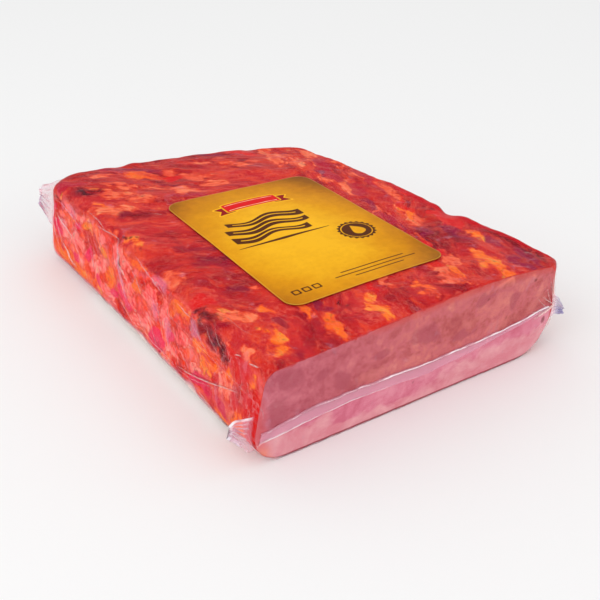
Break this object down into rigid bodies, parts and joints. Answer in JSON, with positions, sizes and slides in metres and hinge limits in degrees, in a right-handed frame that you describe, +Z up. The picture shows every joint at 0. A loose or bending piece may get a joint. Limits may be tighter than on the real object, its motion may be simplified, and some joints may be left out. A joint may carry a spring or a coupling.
{
  "type": "vacuum-packed slab of smoked bacon",
  "caption": "Flat slab of smoked pork belly with one clean cut face, tight in clear film welded across its ends, with a gold card label lying on its top.",
  "frame": {"origin": "middle of the flat underside, halfway along and across the slab's plain block", "axes": "+Z up out of the labelled top, -Y out of the cut face, +X to the right as one looks at the cut face"},
  "size_m": [0.225, 0.2803, 0.0616],
  "materials": {
    "smoked_bacon": "smoked red-orange skin and pink cut meat, wet and glossy under tight clear film",
    "clear_film": "clear shrink film, glossy, whitish where it gathers",
    "gold_card": "satin gold print, darker towards its edges"
  },
  "bodies": {
    "root": {"bacon_pack": "smoked_bacon", "label": "gold_card"}
  },
  "joints": []
}
